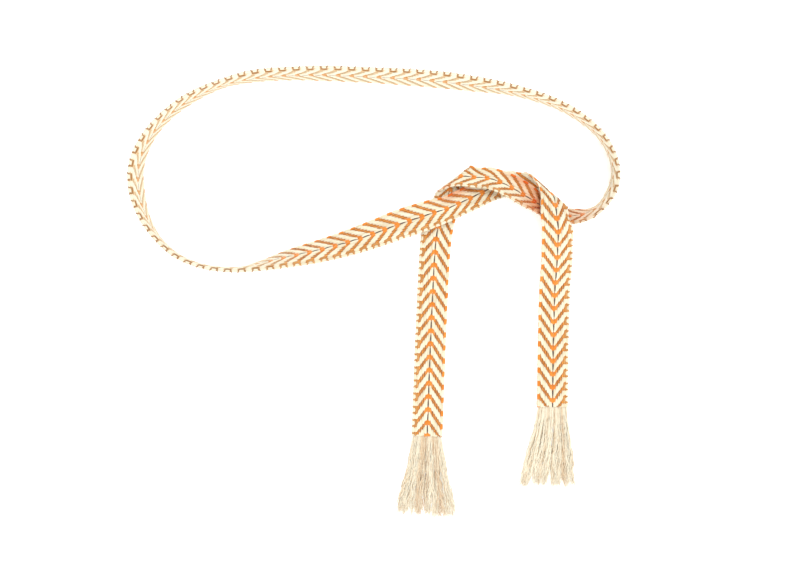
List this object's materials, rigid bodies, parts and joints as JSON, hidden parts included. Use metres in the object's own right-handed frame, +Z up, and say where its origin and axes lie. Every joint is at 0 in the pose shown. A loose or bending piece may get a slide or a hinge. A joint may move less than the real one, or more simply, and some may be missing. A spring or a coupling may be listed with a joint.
{
  "type": "woven tassel belt",
  "caption": "Long flat woven band belt tied in front with a half knot, with a fringe at each hanging end, lying on a surface.",
  "frame": {"origin": "middle of the whole belt's outline seen from above, on the surface it lies on", "axes": "+X along the loop to the right, +Y from the tails to the back of the loop, +Z up off the surface"},
  "size_m": [0.4746, 0.4394, 0.03],
  "materials": {
    "woven_band": "warp-faced woven cotton, orange and cream chevrons with a dark centre line",
    "fringe_yarn": "loose cream and tan yarn ends"
  },
  "bodies": {
    "root": {"woven_band": "woven_band", "tassel_fringe_left": "fringe_yarn", "tassel_fringe_right": "fringe_yarn"}
  },
  "joints": []
}
